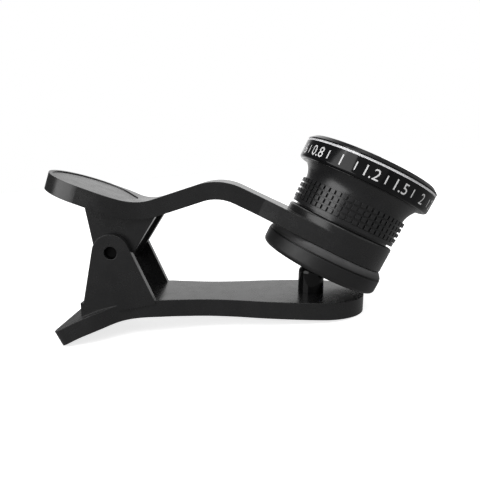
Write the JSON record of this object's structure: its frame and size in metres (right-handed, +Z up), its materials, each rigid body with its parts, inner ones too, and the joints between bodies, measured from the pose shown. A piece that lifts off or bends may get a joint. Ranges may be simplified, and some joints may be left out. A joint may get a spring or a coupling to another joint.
{
  "type": "clip-on phone lens",
  "caption": "Sprung two-lever clip with a tilted round head that holds a screw-in wide lens over a phone's camera, with a soft ring pad and a rubber foot.",
  "frame": {"origin": "on the table, under the middle of the overall length and width", "axes": "+X from the thumb pads to the lens, +Y along the pivot, +Z up"},
  "size_m": [0.082, 0.0286, 0.038],
  "materials": {
    "clip_plastic": "satin moulded",
    "barrel_metal": "satin black anodised",
    "bezel_metal": "gloss black with a bright cut edge",
    "ring_metal": "matte black",
    "steel": "bright drawn",
    "soft_pad": "matte",
    "lens_glass": "polished and coated"
  },
  "bodies": {
    "lower": {"lower_lever": "clip_plastic", "pivot_pin": "steel", "torsion_spring": "steel", "rubber_foot": "soft_pad"},
    "upper": {"upper_lever": "clip_plastic", "phone_pad": "soft_pad"},
    "lens_core": {"front_element": "lens_glass", "front_spacer": "ring_metal", "middle_element": "lens_glass", "rear_spacer": "ring_metal", "aperture_stop": "ring_metal", "rear_element": "lens_glass", "rear_retainer": "ring_metal"},
    "lens_shell": {"lens_barrel": "barrel_metal", "bezel_ring": "bezel_metal", "front_retainer": "ring_metal"}
  },
  "joints": [
    {"name": "jaw", "type": "hinge", "parent": "lower", "child": "upper", "pos_m": [-0.02625, 0, 0.0186], "axis": [0, -1, 0], "range_deg": [0, 30], "stiffness_Nm_per_rad": 0.15, "springref_deg": -57.3, "deforming": ["torsion_spring"]},
    {"name": "lens_travel", "type": "slide", "parent": "upper", "child": "lens_core", "axis": [0.5144, 0, 0.8576], "range_m": [0, 0.0029]},
    {"name": "lens_turn", "type": "hinge", "parent": "lens_core", "child": "lens_shell", "pos_m": [0.02175, 0, 0.01895], "axis": [0.5144, 0, 0.8576], "range_deg": [0, 1420]}
  ],
  "couplings": [
    {"joint": "lens_turn", "follows": "lens_travel", "rad_per_m": 8377.6}
  ]
}
